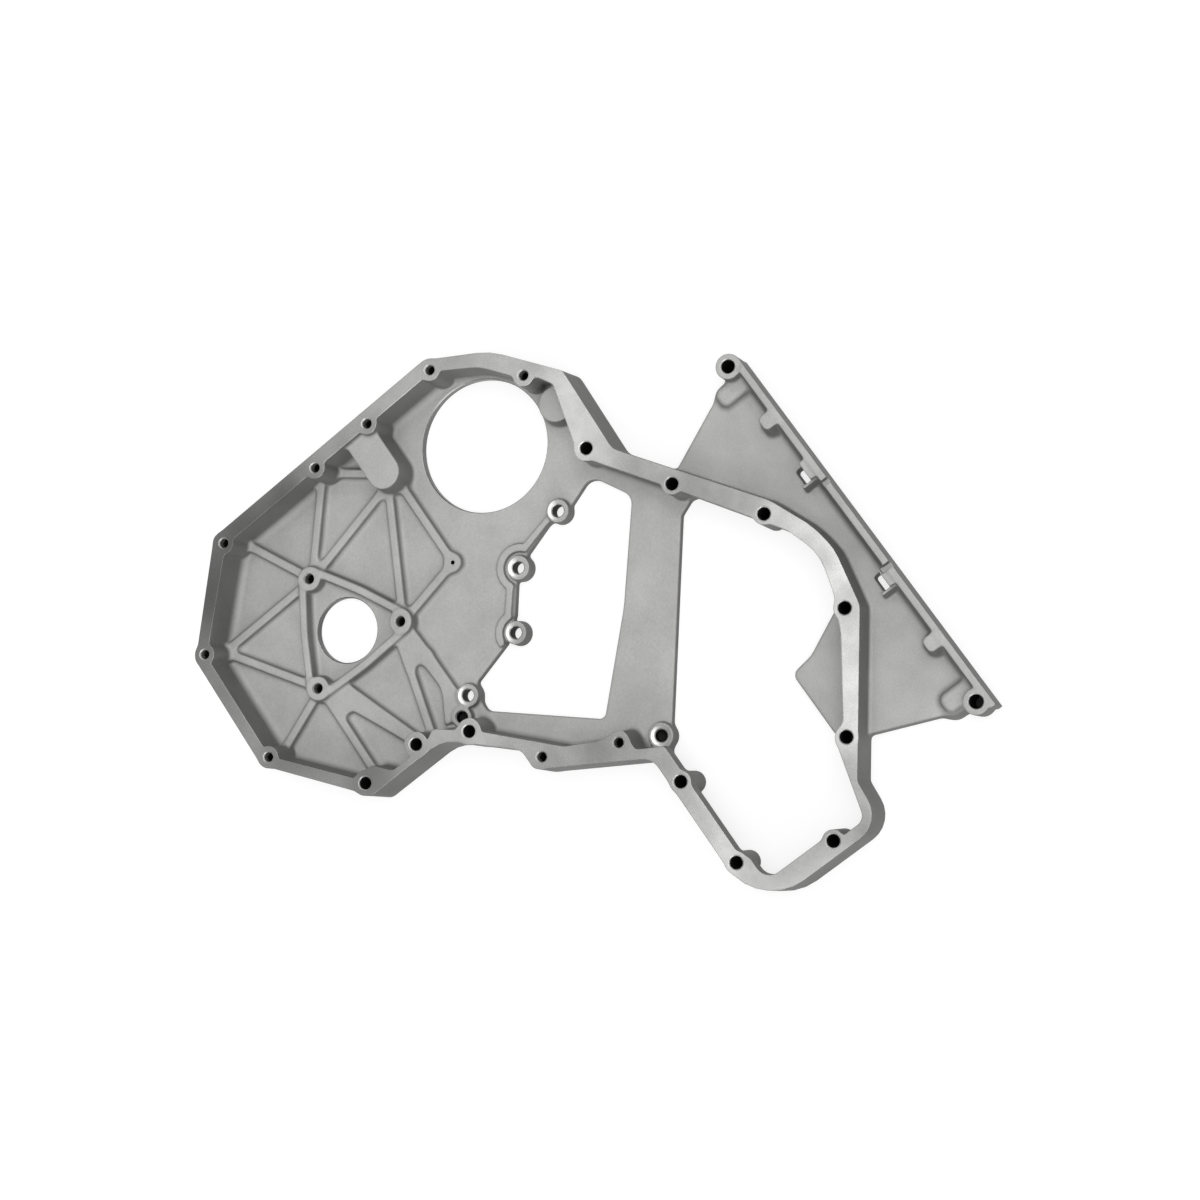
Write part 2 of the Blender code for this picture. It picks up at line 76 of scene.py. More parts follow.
def outline(corners, step=0.25):
    """Points round a polygon whose corners (x, y, radius) are turned into arcs.

    An arc touches both sides at radius times the tangent of half the turn from its corner,
    and its centre lies on the line that halves the corner.
    """
    places = np.array([c[:2] for c in corners], float)
    points = []
    for i, (_, _, radius) in enumerate(corners):
        back = places[i - 1] - places[i]
        on = places[(i + 1) % len(corners)] - places[i]
        back /= np.hypot(*back)
        on /= np.hypot(*on)
        turn = math.pi - math.acos(float(np.clip(back @ on, -1, 1)))
        halving = (back + on) / np.hypot(*(back + on))
        middle = places[i] + halving * radius / math.cos(turn / 2)
        start = math.atan2(*(places[i] + back * radius * math.tan(turn / 2) - middle)[::-1])
        side = 1 if on[0] * back[1] - on[1] * back[0] > 0 else -1
        sweep = start + side * turn * np.linspace(0, 1, 2 + int(turn / step))
        points.append(middle + radius * np.stack([np.cos(sweep), np.sin(sweep)], 1))
    return np.concatenate(points)


def patch(low, high, margin=14.0):
    """Lattice slices that cover a rectangle and a margin round it."""
    i, j = np.searchsorted(lattice_x, (low[0] - margin, high[0] + margin))
    k, m = np.searchsorted(lattice_y, (low[1] - margin, high[1] + margin))
    return slice(i, j), slice(k, m)


def plan(where):
    """The x and y of the lattice columns in a patch."""
    return lattice_x[where[0]][:, None], lattice_y[where[1]][None, :]


def polygon(points):
    """Patch and signed distance in plan to a closed polygon, below zero inside it.

    The distance is the least one to any side, and the sign comes from how many sides lie
    to the right of a point.
    """
    where = patch(points.min(0), points.max(0))
    x, y = plan(where)
    nearest = np.full((x.size, y.size), 1e9, np.float32)
    inside = np.zeros(nearest.shape, bool)
    for (ax, ay), (bx, by) in zip(points, np.roll(points, -1, 0)):
        ex, ey = bx - ax, by - ay
        along = np.clip(((x - ax) * ex + (y - ay) * ey) / (ex * ex + ey * ey + 1e-9), 0, 1)
        nearest = np.minimum(nearest, (x - ax - along * ex) ** 2 + (y - ay - along * ey) ** 2)
        if ay != by:
            rows = (y >= min(ay, by)) & (y < max(ay, by))
            inside ^= rows & (x < ax + (y - ay) * ex / ey)
    return where, (np.where(inside, -1, 1) * np.sqrt(nearest)).astype(np.float32)


def lower(a, b, blend):
    """Smooth minimum: the lower of two fields, less a parabola where they nearly meet."""
    near = np.maximum(blend - np.abs(a - b), 0)
    return np.minimum(a, b) - near * near * np.float32(0.25 / blend)


def higher(a, b, blend):
    """Smooth maximum, the mirror image of the smooth minimum."""
    return -lower(-a, -b, blend)


def add(shape, top=None, slope=0.03, edge=1.2, blend=3.0):
    """Fuse a shape that grows by slope per millimetre below its top, with a fillet."""
    where, distance = shape
    if top is None:
        field = distance[None] - slope * (RIM_TOP - level)
    else:
        field = higher(distance[None] - slope * (top - level), level - top, edge)
    at = (slice(None), *where)
    metal[at] = lower(metal[at], field, blend)


def take(shape, low=None, high=None, slope=0.0, edge=1.0, inner_edge=1.0):
    """Remove a shape between two levels; slope narrows it downwards from the rim."""
    where, distance = shape
    field = distance[None] + slope * (RIM_TOP - level)
    if low is not None:
        field = higher(field, low - level, inner_edge)
    if high is not None:
        field = higher(field, level - high, inner_edge)
    at = (slice(None), *where)
    metal[at] = higher(metal[at], -field, edge)


add(polygon(outline(RIM_OUTSIDE)), slope=0.045, blend=1.0)
take(polygon(outline(RIM_INSIDE)), low=FLOOR_TOP, slope=0.035, edge=0.6, inner_edge=7.0)

# Crank window
# Below the flange that carries the cover the wall of the crank window is thinner, so the
# flange overhangs it.
FLANGE_UNDERSIDE = 22.0
CRANK_WINDOW = [
    (-46, 211.5, 6), (-172, 211.5, 33), (-172, 117, 14), (-143, 113.5, 8),
    (-47, 41.5, 12), (-5, 31.5, 40), (14, 34, 40), (50, 48.5, 20),
    (92, 78, 6), (95, 92, 5), (90.5, 103.8, 5), (-37.5, 205.8, 4),
]
take(polygon(outline(CRANK_WINDOW)), high=FLANGE_UNDERSIDE, edge=1.5, inner_edge=3.0)

# Bolt bosses
# The long bolts of the cover pass down full-depth columns on the wall and on into the
# block. The short screws end in blind holes in the rim.
COVER_SCREWS = [
    (136, 465.5), (233.3, 465), (294, 402.8), (293, 307.7), (293.4, 254.1),
    (293.7, 190.1), (242.2, 133.9), (-21.4, 231.9), (5, 285.5),
]
COVER_BOLTS = [
    (72.3, 411), (71.4, 361), (54, 321), (167.1, 127.1), (105, 91),
    (45.2, 50.1), (-43.9, 43.3), (-116.7, 95.2), (-168.9, 144.9),
    (-140.9, 210.5), (-71.3, 210.5),
]
PAN_SIDE_BOLTS = 4
PAN_COLUMN_RADIUS = 9.4
CRANK_COLUMN_RADIUS = 7.9
SCREW_BOSS_RADIUS = 8.3


def disc(centre, radius):
    """Patch and signed distance in plan to a circle."""
    where = patch(np.subtract(centre, radius), np.add(centre, radius))
    x, y = plan(where)
    return where, np.hypot(x - centre[0], y - centre[1]) - np.float32(radius)


for centre in COVER_BOLTS[:PAN_SIDE_BOLTS]:
    add(disc(centre, PAN_COLUMN_RADIUS), slope=0.01, blend=2.2)
for centre in COVER_BOLTS[PAN_SIDE_BOLTS:]:
    add(disc(centre, CRANK_COLUMN_RADIUS), slope=0.01, blend=2.2)
for centre in COVER_SCREWS:
    add(disc(centre, SCREW_BOSS_RADIUS), slope=0.025, blend=2.2)

# Wing
# A flat triangular plate closes the crankcase between the rim and the sump, and its tip
# shows inside the crank window.
WING_TOP = 10.0
WING = [
    (-148, 3, 1), (-145.6, 25.5, 3), (-119, 90, 3), (-106, 105, 3),
    (-53.5, 105, 6), (-51, 86, 20), (-35, 52, 3), (-2, 31, 30),
    (30, 42, 30), (104, 92, 3), (118, 89, 2), (145.6, 25.5, 3), (148, 3, 1),
]
add(polygon(outline(WING)), WING_TOP, slope=0.07, edge=2.5, blend=3.0)

# Sump rail
# An upright flange carries the sump gasket. Bosses at its ends take the sump bolts, solid
# lugs and slotted lugs stiffen it, and a low pad leans on each end.
RAIL_TOP = 28.0
RAIL_WALL = 4.2
SUMP_BOLT_OFFSET = 149.6
END_BOSS_RADIUS = 9.4
SLOT_CENTRES = [-42.5, 53.0]
SLOT_NEAR = 10.4
LUG_OFFSET = 99.0
END_PAD_OFFSET = 137.2
END_PAD_TOP = 17.0
NOTCH_OFFSET = 37.5
NOTCH_DEPTH = 5.0


def block(middle, width, near, far, radius):
    """Patch and plan distance for a rectangle with two rounded far corners."""
    left, right = middle - width / 2, middle + width / 2
    return polygon(outline([(left, near, 0.3), (right, near, 0.3),
                            (right, far, radius), (left, far, radius)]))


def gather(shapes, blend):
    """One patch and plan distance for several shapes, blended where they meet."""
    whole = np.full((lattice_x.size, lattice_y.size), 60.0, np.float32)
    for where, distance in shapes:
        whole[where] = lower(whole[where], distance, blend)
    return (slice(None), slice(None)), whole


bosses = [disc((side * SUMP_BOLT_OFFSET, END_BOSS_RADIUS), END_BOSS_RADIUS) for side in (-1, 1)]
lugs = [block(side * LUG_OFFSET, 10.0, -1.0, 14.4, 3.0) for side in (-1, 1)]
lugs += [block(middle, 15.0, -1.0, SLOT_NEAR, 1.5) for middle in SLOT_CENTRES]
add(gather([block(-4.8, 308.8, -1.0, RAIL_WALL, 1.0)] + bosses + lugs, 2.0),
    RAIL_TOP, slope=0.0, edge=1.0, blend=3.5)
add(block(0.0, 284.0, -1.0, RAIL_WALL - 0.2, 1.0), RAIL_TOP, slope=0.3, edge=1.0, blend=3.5)
for side in (-1, 1):
    add(block(side * LUG_OFFSET, 9.6, 2.0, 14.0, 3.0), RAIL_TOP, slope=0.22, edge=1.5, blend=3.5)
    add(block(side * END_PAD_OFFSET, 13.0, 2.0, 30.5, 5.0), END_PAD_TOP,
        slope=0.35, edge=3.0, blend=4.0)
for middle in SLOT_CENTRES:
    add(block(middle - 7.6, 2.4, 2.0, 18.6, 1.0), RAIL_TOP - 4.0, slope=0.06, edge=1.6, blend=2.0)
    take(block(middle + 1.0, 15.2, SLOT_NEAR, 17.2, 2.0), edge=1.0)
for side in (-1, 1):
    take(block(side * NOTCH_OFFSET, 4.5, -6.0, 9.0, 0.5), low=RAIL_TOP - NOTCH_DEPTH, edge=0.8)

# Floor ribs
# Low ribs fan out over the pan's floor from the pump's studs to the wall and to the arm
# pad. They are flat on top with a fillet along each foot, and webs fill the narrow corners.
PUMP_CENTRE = (185.0, 367.2)
STUD_CIRCLE_RADIUS = 49.0
RIB_JOINT = (172.0, 266.0)
RIB_JOINT_RADIUS = 5.0
RIB_TOP = FLOOR_TOP + 5.3
RIB_HALF_WIDTH = 3.2


def polar(centre, radius, degrees):
    """Points at a radius from a centre: centre plus radius times (cosine, sine)."""
    turns = np.radians(np.atleast_1d(degrees))
    return np.stack([centre[0] + radius * np.cos(turns), centre[1] + radius * np.sin(turns)], 1)


def band(start, end, half_width):
    """Patch and signed distance in plan to a straight band with round ends."""
    (ax, ay), (bx, by) = start, end
    where = patch(np.minimum(start, end) - half_width, np.maximum(start, end) + half_width)
    x, y = plan(where)
    ex, ey = bx - ax, by - ay
    along = np.clip(((x - ax) * ex + (y - ay) * ey) / (ex * ex + ey * ey), 0, 1)
    return where, np.hypot(x - ax - along * ex, y - ay - along * ey) - np.float32(half_width)


studs = polar(PUMP_CENTRE, STUD_CIRCLE_RADIUS, [0, 120, 240])
right_stud, upper_stud, lower_stud = studs
ribs = [
    (right_stud, (233.5, 458)), (upper_stud, (229, 457)), (upper_stud, (142, 458)),
    ((158, 409.2), (78, 409)), ((151, 396), (76, 365)), ((150, 335), (76, 355)),
    (lower_stud, (90, 322)), (right_stud, (290, 396)), (right_stud, (288, 320)),
    (right_stud, (253, 280)), (lower_stud, RIB_JOINT), (lower_stud, (251.5, 275.5)),
    (RIB_JOINT, (248, 266)), ((272, 283), (290, 305)),
]
webs = [
    [(132.5, 407, 2), (160, 409, 2), (152, 390, 2), (80, 365, 2), (80, 371.1, 1), (130, 397, 4)],
    [(127, 341, 3), (150, 335, 2), (158, 325, 2), (127, 322, 2)],
    [(128, 329, 1), (119, 329, 8), (102.2, 327.8, 6), (94, 331.5, 6), (76, 342, 2),
     (72, 323, 2), (128, 322, 1)],
]
add(gather([band(start, end, RIB_HALF_WIDTH) for start, end in ribs]
           + [disc(RIB_JOINT, RIB_JOINT_RADIUS)] + [polygon(outline(web)) for web in webs], 7.0),
    RIB_TOP, slope=0.12, edge=1.6, blend=4.2)

# Idler window
# The window for the idler gear's hub is straight on the crank side and stepped round four
# bosses on the pump side, where a low lip follows its edge.
IDLER_WINDOW = [
    (5.5, 238.5, 5), (63.3, 178.8, 60), (126.2, 125.5, 10), (158, 142.5, 10),
    (150, 165.5, 8), (149, 190.5, 3), (141.5, 215.5, 3), (130, 234.5, 3),
    (110, 250.5, 3), (97, 268.5, 3), (88, 303.5, 4), (80, 308.5, 3),
    (66, 310, 7),
]
WINDOW_BOSSES = [(83, 314, 8.8), (98, 256, 8.8), (136.3, 226.3, 9.2), (151.4, 176.6, 8.8)]
BLIND_BOSSES = [(-31.3, 209, 9.6), (72.3, 327.1, 7.8)]
WINDOW_BOSS_TOP = 12.0
LIP_TOP = FLOOR_TOP + 3.0
LIP_HALF_WIDTH = 2.6
lip = np.concatenate([[(152, 186)], polar((136.3, 226.3), 15.5, range(-50, 126, 15)),
                      polar((98, 256), 14.5, range(-5, 86, 15))])
add(gather([band(start, end, LIP_HALF_WIDTH) for start, end in zip(lip, lip[1:])], 1.5),
    LIP_TOP, slope=0.1, edge=0.9, blend=2.0)
take(polygon(outline(IDLER_WINDOW)), high=20.0, edge=1.8)
for x, y, radius in WINDOW_BOSSES + BLIND_BOSSES:
    add(disc((x, y), radius), WINDOW_BOSS_TOP, slope=0.05, edge=1.0, blend=2.6)

# Pump pad
# The injection pump bolts to three studs on a triangular ridge whose sides bow outwards.
RIDGE_TOP = 15.0
BOSS_RADIUS = 9.2
BULGE = 2.5
RIDGE_HALF_WIDTH = 2.9
inside = STUD_CIRCLE_RADIUS / 2 + BOSS_RADIUS
corners = polar(PUMP_CENTRE, 2 * inside, [0, 120, 240])
middles = polar(PUMP_CENTRE, inside + BULGE, [60, 180, 300])
triangle = []
for corner, middle in zip(corners, middles):
    triangle += [(*corner, BOSS_RADIUS + BULGE), (*middle, 78.4)]
where, distance = polygon(outline(triangle))
add((where, np.abs(distance + RIDGE_HALF_WIDTH + 0.3) - RIDGE_HALF_WIDTH),
    RIDGE_TOP, slope=0.16, edge=1.4, blend=3.5)
for centre in studs:
    add(disc(centre, BOSS_RADIUS), RIDGE_TOP + 0.5, slope=0.08, edge=0.8, blend=2.5)

# Arm pad and bore pad
# A tall rounded pad reaches in from the rim, and a half-round one stands beside the bore
# of the accessory drive.
ARM_PAD = [(244.2, 253.2, 13.2), (297, 253.2, 0.3), (297, 279.8, 0.3), (244.2, 279.8, 13.2)]
ARM_PAD_TOP = 29.0
BORE_PAD = (214.5, 129.5)
BORE_PAD_RADIUS = 13.5
BORE_PAD_TOP = 20.0
add(polygon(outline(ARM_PAD)), ARM_PAD_TOP, slope=0.09, edge=1.2, blend=3.5)
add(disc(BORE_PAD, BORE_PAD_RADIUS), BORE_PAD_TOP, slope=0.14, edge=1.2, blend=3.0)

# Cast skin
# The surface as it leaves the mould: a point in every lattice cell that the surface
# crosses, and a square across every lattice edge that it cuts.


def sample(points):
    """The field at points in lattice steps, from its eight neighbours."""
    points = np.clip(points, 0, np.array(metal.shape) - 1.001)
    base = points.astype(np.int64)
    share = (points - base).astype(np.float32)
    total = 0
    for corner in np.ndindex(2, 2, 2):
        weight = np.prod(np.where(corner, share, 1 - share), 1)
        total = total + weight * metal[tuple((base + corner).T)]
    return total


def gradient(points, reach=0.6):
    """Slope of the field at points in lattice steps, by differences across each point."""
    steps = np.eye(3) * reach
    return np.stack([sample(points + s) - sample(points - s) for s in steps], 1) / (2 * reach)


def skin():
    """Points in lattice steps and squares of the surface where the field is zero.

    Every lattice edge with one end in the metal is cut at the share f0 / (f0 - f1). A cell's
    point is the mean of its cuts, moved along the gradient until the field there is zero.
    """
    metal[[0, -1]] = 3.0
    solid = metal < 0
    shape = np.array(metal.shape)
    strides = np.array([shape[1] * shape[2], shape[2], 1])
    cells, cuts, facing = [], [], []
    for axis in range(3):
        first = [slice(None)] * 3
        second = [slice(None)] * 3
        first[axis] = slice(0, -1)
        second[axis] = slice(1, None)
        u, v = (axis + 1) % 3, (axis + 2) % 3
        place = np.argwhere(solid[tuple(first)] != solid[tuple(second)])
        place = place[(place[:, u] > 0) & (place[:, v] > 0)]
        index = place @ strides
        start = metal.ravel()[index]
        end = metal.ravel()[index + strides[axis]]
        cut = place.astype(np.float32)
        cut[:, axis] += start / (start - end)
        cells.append(np.stack([index, index - strides[u], index - strides[u] - strides[v],
                               index - strides[v]], 1))
        cuts.append(cut)
        facing.append(start < 0)
    cuts, facing = np.concatenate(cuts), np.concatenate(facing)
    _, numbers = np.unique(np.concatenate(cells), return_inverse=True)
    numbers = numbers.reshape(-1, 4)
    count = np.bincount(numbers.ravel())
    points = np.stack([np.bincount(numbers.ravel(), np.repeat(cuts[:, i], 4)) / count
                       for i in range(3)], 1)
    for _ in range(2):
        slope = gradient(points)
        step = (sample(points) / (np.sum(slope * slope, 1) + 1e-3))[:, None] * slope
        points -= np.clip(step, -0.5, 0.5)
    return points, np.where(facing[:, None], numbers, numbers[:, ::-1])


def drawing(points):
    """Lattice steps as millimetres of the drawing, in the order x, y, z."""
    origin = np.array([lattice_x[0], lattice_y[0], lattice_z[0]])
    return points[:, [1, 2, 0]] * PITCH + origin


def shape_object(name, points, faces):
    """Object with these points, in millimetres of the drawing, and faces."""
    metres = (points - np.array([*FOOTPRINT_CENTRE, 0])) * 0.001
    mesh = bpy.data.meshes.new(name)
    mesh.vertices.add(len(points))
    mesh.vertices.foreach_set('co', metres.astype(np.float32).ravel())
    sizes = [len(f) for f in faces]
    mesh.loops.add(sum(sizes))
    mesh.loops.foreach_set('vertex_index', np.concatenate(faces).astype(np.int32))
    mesh.polygons.add(len(faces))
    mesh.polygons.foreach_set('loop_start', np.cumsum([0] + sizes[:-1]))
    mesh.update(calc_edges=True)
    item = bpy.data.objects.new(name, mesh)
    bpy.context.collection.objects.link(item)
    return item


def bake(item):
    """Replace an object's mesh by what its modifiers make of it."""
    graph = bpy.context.evaluated_depsgraph_get()
    mesh = bpy.data.meshes.new_from_object(item.evaluated_get(graph))
    item.modifiers.clear()
    item.data = mesh


SKIN_FACES = 75000
points, squares = skin()
housing = shape_object('gear_housing_casting', drawing(points), squares)
fewer = housing.modifiers.new('fewer', 'DECIMATE')
fewer.ratio = SKIN_FACES / len(squares)
bake(housing)

# Metals
# As-cast aluminium is a dull grey with a fine grain and soft mottling. The machined faces, and the
# chamfers and seats of holes, are brighter and smoother. Light and shade are also painted into the
# colour: upright faces darker, sharp edges brighter, milled faces lighter or darker round given
# places as painted reflection, and the walls of narrow holes near-black as painted shade.


def noise(tree, place, scale, detail):
    """Smooth noise at a place; its patches are one over the scale across, in metres."""
    texture = tree.nodes.new('ShaderNodeTexNoise')
    texture.inputs['Scale'].default_value = scale
    texture.inputs['Detail'].default_value = detail
    tree.links.new(place, texture.inputs['Vector'])
    return texture.outputs['Fac']


def mapped(tree, value, start, end, low, high):
    """A value from start to end turned into one from low to high, and held beyond them."""
    scale = tree.nodes.new('ShaderNodeMapRange')
    for name, number in zip(('From Min', 'From Max', 'To Min', 'To Max'), (start, end, low, high)):
        scale.inputs[name].default_value = number
    tree.links.new(value, scale.inputs['Value'])
    return scale.outputs['Result']


def combined(tree, operation, first, second):
    """Two values added or multiplied."""
    node = tree.nodes.new('ShaderNodeMath')
    node.operation = operation
    tree.links.new(first, node.inputs[0])
    tree.links.new(second, node.inputs[1])
    return node.outputs['Value']


def metal_finish(name, colour, metallic, roughness, painted_wall_shade, mottling, patches, speckle, grain_size,
                 glancing=0.4, painted_reflections=()):
    """Bare aluminium whose colour varies by mottling, wide patches and a fine speckle.

    Where it stands upright its colour is darkened by the wall factor, as painted shade, and along
    sharp edges it is brightened, as a painted highlight. It mirrors the share glancing of light
    that grazes it. A painted reflection patch (x, y, radius, gain) makes the colour lighter or
    darker round a place and fades out smoothly from its middle. The grain is a bump of a twentieth
    of its size.
    """
    material = bpy.data.materials.new(name)
    material.use_nodes = True
    tree = material.node_tree
    shader = tree.nodes['Principled BSDF']
    shader.inputs['Metallic'].default_value = metallic
    shader.inputs['Specular Tint'].default_value = (glancing, glancing, glancing, 1)
    where_at = tree.nodes.new('ShaderNodeTexCoord')
    upright = tree.nodes.new('ShaderNodeSeparateXYZ')
    tree.links.new(where_at.outputs['Normal'], upright.inputs['Vector'])
    # Painted shade: the colour is darker where the face stands upright, by the wall factor.
    shade = mapped(tree, upright.outputs['Z'], 0.2, 0.96, painted_wall_shade, 1.0)

    mottle = noise(tree, where_at.outputs['Object'], 45.0, 5.0)
    grain = noise(tree, where_at.outputs['Object'], 1.0 / grain_size, 3.0)
    stain = noise(tree, where_at.outputs['Object'], 13.0, 1.0)
    for value, spread in ((mottle, mottling), (stain, patches), (grain, speckle)):
        factor = mapped(tree, value, 0.3, 0.7, 1.0 - spread, 1.0 + spread)
        shade = combined(tree, 'MULTIPLY', shade, factor)
    # Painted reflection: the colour is made lighter or darker round each given place, as where the
    # milled face mirrors more or less of its surroundings.
    for x, y, radius, gain in painted_reflections:
        apart = tree.nodes.new('ShaderNodeVectorMath')
        apart.operation = 'DISTANCE'
        middle = (np.array([x, y, RIM_TOP]) - [*FOOTPRINT_CENTRE, 0]) * 0.001
        apart.inputs[1].default_value = middle
        tree.links.new(where_at.outputs['Object'], apart.inputs[0])
        factor = mapped(tree, apart.outputs['Value'], 0.0, radius * 0.001, 1.0 + gain, 1.0)
        factor.node.interpolation_type = 'SMOOTHSTEP'
        shade = combined(tree, 'MULTIPLY', shade, factor)

    # Painted highlight: the colour is brightened along sharp edges, found from the bevelled
    # normal; the same normal also rounds the edges' shading.
    edge = tree.nodes.new('ShaderNodeBevel')
    edge.inputs['Radius'].default_value = 0.0008
    plain = tree.nodes.new('ShaderNodeNewGeometry')
    turn = tree.nodes.new('ShaderNodeVectorMath')
    turn.operation = 'DOT_PRODUCT'
    tree.links.new(edge.outputs['Normal'], turn.inputs[0])
    tree.links.new(plain.outputs['Normal'], turn.inputs[1])
    painted_edge_highlight = mapped(tree, turn.outputs['Value'], 0.8, 0.98, 1.6, 1.0)
    shade = combined(tree, 'MULTIPLY', shade, painted_edge_highlight)

    tint = tree.nodes.new('ShaderNodeVectorMath')
    tint.operation = 'SCALE'
    tint.inputs[0].default_value = colour
    tree.links.new(shade, tint.inputs['Scale'])
    tree.links.new(tint.outputs['Vector'], shader.inputs['Base Color'])
    rough = mapped(tree, mottle, 0.0, 1.0, roughness + 0.06, roughness - 0.06)
    tree.links.new(rough, shader.inputs['Roughness'])
    bump = tree.nodes.new('ShaderNodeBump')
    bump.inputs['Distance'].default_value = grain_size / 20.0
    tree.links.new(edge.outputs['Normal'], bump.inputs['Normal'])
    tree.links.new(grain, bump.inputs['Height'])
    tree.links.new(bump.outputs['Normal'], shader.inputs['Normal'])
    return material


# The fifth argument is painted shade on upright faces: the colour falls to 0.44 of itself on the
# skin, 0.4 on milled faces and 0.8 on turned ones.
cast = metal_finish('cast_aluminium_skin', (0.47, 0.47, 0.46), 0.3, 0.6,
                    0.44, 0.06, 0.05, 0.08, 0.0011)
# Painted reflection patches on the milled faces, each x, y, radius in millimetres and gain:
# lighter where the gain is above zero, darker below.
PAINTED_REFLECTIONS = [(250, 410, 190, -0.4), (85, 70, 85, -0.4), (-10, 30, 85, 0.45), (-110, 90, 80, 0.45),
          (205, 117, 50, 0.4)]
machined = metal_finish('machined_aluminium', (0.36, 0.36, 0.355), 0.9, 0.26,
                        0.4, 0.12, 0.35, 0.12, 0.0004, 0.85, PAINTED_REFLECTIONS)
# Painted shade: the walls and points of narrow holes are near-black.
painted_hole_shade = metal_finish('painted_hole_shade_aluminium', (0.02, 0.02, 0.02), 0.2, 0.6,
                       1.0, 0.1, 0.1, 0.1, 0.0004)
turned = metal_finish('turned_aluminium', (0.62, 0.62, 0.61), 0.7, 0.26,
                      0.8, 0.15, 0.1, 0.1, 0.0004)

# Machining
# The cover face, the block face and the sump face are milled flat, and every hole is
# drilled with a small chamfer at its mouth. The seats on the window's bosses are dished.
BOLT_HOLE_RADIUS = 4.7
SCREW_HOLE_RADIUS = 3.4
SCREW_HOLE_BOTTOM = 13.0
STUD_HOLE_RADIUS = 3.6
THREAD_SHOWN = 5.0
WINDOW_HOLE_RADIUS = 4.6
BLIND_HOLE_BOTTOM = 4.0
SUMP_HOLE_RADIUS = 5.0
SEAT_RADIUS = 8.0
SEAT_LEVEL = 11.0
SEAT_DISH = 0.6
BORE = (230.0, 195.5)
BORE_RADIUS = 50.8
PILOT_RADIUS = 25.0
cutter_points = []
cutter_faces = []
cutter_finish = []


def turn_cutter(centre, profile, sides):
    """Solid of revolution for drilling: rings of (radius, height) from bottom to top.

    The wall and point of a narrow hole are painted near-black as shade, as finish 1, and its
    chamfer and seat are bright, as finish 2.
    """
    base = sum(len(p) for p in cutter_points)
    for radius, height in profile:
        ring = polar(centre, radius, np.arange(sides) * 360 / sides)
        cutter_points.append(np.column_stack([ring, np.full(sides, height)]))
    here = np.arange(sides)
    on = (here + 1) % sides
    for start in range(base, base + (len(profile) - 1) * sides, sides):
        cutter_faces.extend(np.stack([here, on, on + sides, here + sides], 1) + start)
    for (radius, _), (wider, _) in zip(profile, profile[1:]):
        # Straight walls and drill points of narrow holes take the near-black painted shade.
        painted_dark = wider == radius or radius < 0.1
        cutter_finish.extend([0 if radius > 20 else 1 if painted_dark else 2] * sides)
    cutter_finish.extend([1, 0])
    cutter_faces.append(base + here[::-1])
    cutter_faces.append(base + (len(profile) - 1) * sides + here)


def drill(centre, radius, mouth, bottom=-3.0, chamfer=0.8, seat=None, sides=40, tapped=0.0):
    """Hole with a chamfer at its mouth, a drill point if blind, and a turned seat.

    The thread of a tapped hole catches the light near the mouth, as a slight bright cone.
    """
    profile = [(radius, bottom)]
    if bottom > -1:
        profile = [(0.05, bottom - radius * 0.6), (radius, bottom)]
    if tapped:
        profile += [(radius, mouth - chamfer - tapped), (radius + 0.2, mouth - chamfer)]
    else:
        profile += [(radius, mouth - chamfer)]
    profile += [(radius + chamfer, mouth)]
    if seat is not None:
        profile += [(seat, mouth + SEAT_DISH), (seat, mouth + 30.0)]
    else:
        profile += [(radius + chamfer, 40.0)]
    turn_cutter(centre, profile, sides)


for centre in COVER_BOLTS:
    drill(centre, BOLT_HOLE_RADIUS, RIM_TOP)
for centre in COVER_SCREWS:
    drill(centre, SCREW_HOLE_RADIUS, RIM_TOP, bottom=SCREW_HOLE_BOTTOM, chamfer=1.0,
          tapped=THREAD_SHOWN)
for centre in studs:
    drill(centre, STUD_HOLE_RADIUS, RIDGE_TOP + 0.5, chamfer=0.9, tapped=THREAD_SHOWN)
drill(RIB_JOINT, 1.6, RIB_TOP, bottom=7.0, chamfer=0.3, sides=24)
for side in (-1, 1):
    drill((side * SUMP_BOLT_OFFSET, END_BOSS_RADIUS), SUMP_HOLE_RADIUS, RAIL_TOP)
for x, y, radius in WINDOW_BOSSES:
    drill((x, y), WINDOW_HOLE_RADIUS, SEAT_LEVEL, seat=SEAT_RADIUS)
drill(BLIND_BOSSES[0][:2], WINDOW_HOLE_RADIUS, SEAT_LEVEL, bottom=BLIND_HOLE_BOTTOM,
      seat=SEAT_RADIUS)
drill(BLIND_BOSSES[1][:2], WINDOW_HOLE_RADIUS, WINDOW_BOSS_TOP, bottom=BLIND_HOLE_BOTTOM)
drill(BORE, BORE_RADIUS, FLOOR_TOP, sides=128)
drill(PUMP_CENTRE, PILOT_RADIUS, FLOOR_TOP, sides=96)

drills = shape_object('drills', np.concatenate(cutter_points), cutter_faces)
stock = np.array([(x, y, z) for z in (0.0, RIM_TOP) for x, y in
                  ((-200, 0), (320, 0), (320, 500), (-200, 500))], float)
slab = shape_object('slab', stock, [np.array(f) for f in (
    (3, 2, 1, 0), (4, 5, 6, 7), (0, 1, 5, 4), (1, 2, 6, 5), (2, 3, 7, 6), (3, 0, 4, 7))])
for item, finish in ((housing, cast), (drills, machined), (slab, machined)):
    item.data.materials.clear()
    item.data.materials.append(finish)
drills.data.materials.append(painted_hole_shade)
drills.data.materials.append(turned)
drills.data.polygons.foreach_set('material_index', cutter_finish)
